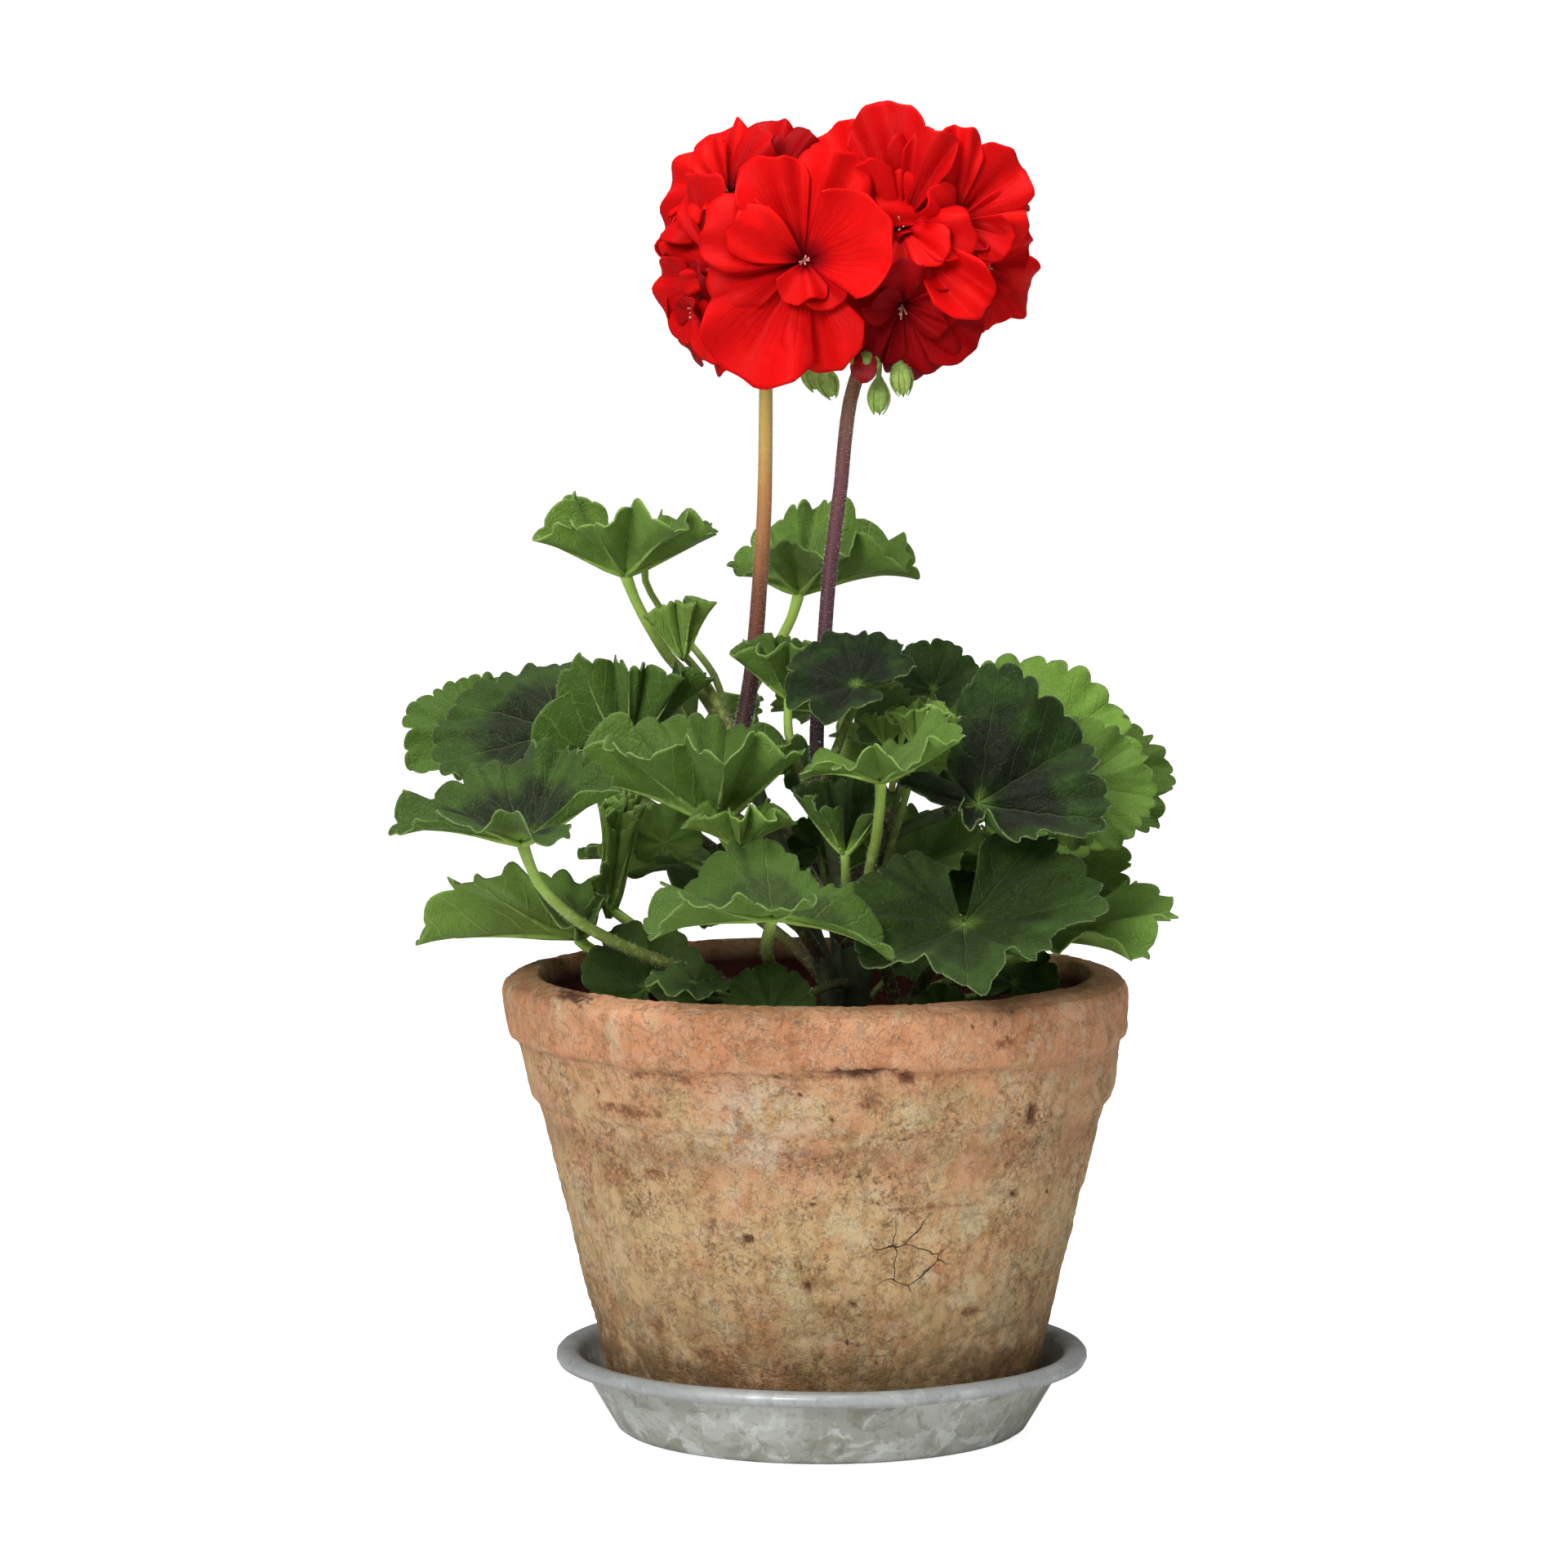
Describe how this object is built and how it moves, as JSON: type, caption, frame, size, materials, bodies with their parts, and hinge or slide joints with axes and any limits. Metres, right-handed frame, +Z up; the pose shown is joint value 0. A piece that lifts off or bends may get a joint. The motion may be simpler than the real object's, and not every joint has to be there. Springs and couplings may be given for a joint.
{
  "type": "potted geranium",
  "caption": "Flowering zonal geranium with scalloped, funnel-shaped leaves and round red flower heads on tall stalks, in an aged terracotta pot standing on a zinc saucer.",
  "frame": {"origin": "centre of the saucer's flat underside, on the surface that it stands on", "axes": "+Z up along the pot's axis, -Y towards the viewer of the picture, +X to the right of the picture"},
  "size_m": [0.2178, 0.2127, 0.3611],
  "materials": {
    "zinc": "satin",
    "terracotta": "matte",
    "soil": "matte",
    "shoot": "matte",
    "leaf": "matte",
    "young_leaf": "matte",
    "ochre_stalk": "matte",
    "purple_stalk": "matte",
    "petal": "satin"
  },
  "bodies": {
    "root": {"saucer": "zinc", "pot": "terracotta", "soil": "soil", "shoots": "shoot", "leaf_top_left": "leaf", "leaf_top_left_small": "young_leaf", "leaf_top_left_back": "leaf", "leaf_top_right": "leaf", "leaf_crest": "leaf", "leaf_crest_dark": "leaf", "leaf_crest_upright": "leaf", "leaf_young_left": "young_leaf", "leaf_young_right": "young_leaf", "leaf_far_left": "young_leaf", "leaf_left": "leaf", "leaf_left_inner": "leaf", "leaf_left_front": "leaf", "leaf_low_left_front": "leaf", "leaf_low_left": "leaf", "leaf_folded": "leaf", "leaf_middle_small": "young_leaf", "leaf_middle_back": "leaf", "leaf_middle_left": "young_leaf", "leaf_middle_dark": "leaf", "leaf_middle_right": "young_leaf", "leaf_front_right": "young_leaf", "leaf_right_dark": "leaf", "leaf_right_light": "young_leaf", "leaf_right_edge": "young_leaf", "leaf_far_right": "leaf", "leaf_low_right": "leaf", "leaf_low_right_tip": "young_leaf", "leaf_low_right_back": "leaf", "leaf_front": "leaf", "leaf_pot_left": "leaf", "leaf_pot_front": "leaf", "leaf_pot_middle": "leaf", "leaf_pot_right": "leaf", "leaf_back_left": "leaf", "leaf_back_right": "leaf", "leaf_back_low": "leaf", "leaf_back_top": "leaf", "flower_stalk_left": "ochre_stalk", "flower_stalk_right": "purple_stalk", "flower_head_left": "petal", "flower_head_right": "petal"}
  },
  "joints": []
}
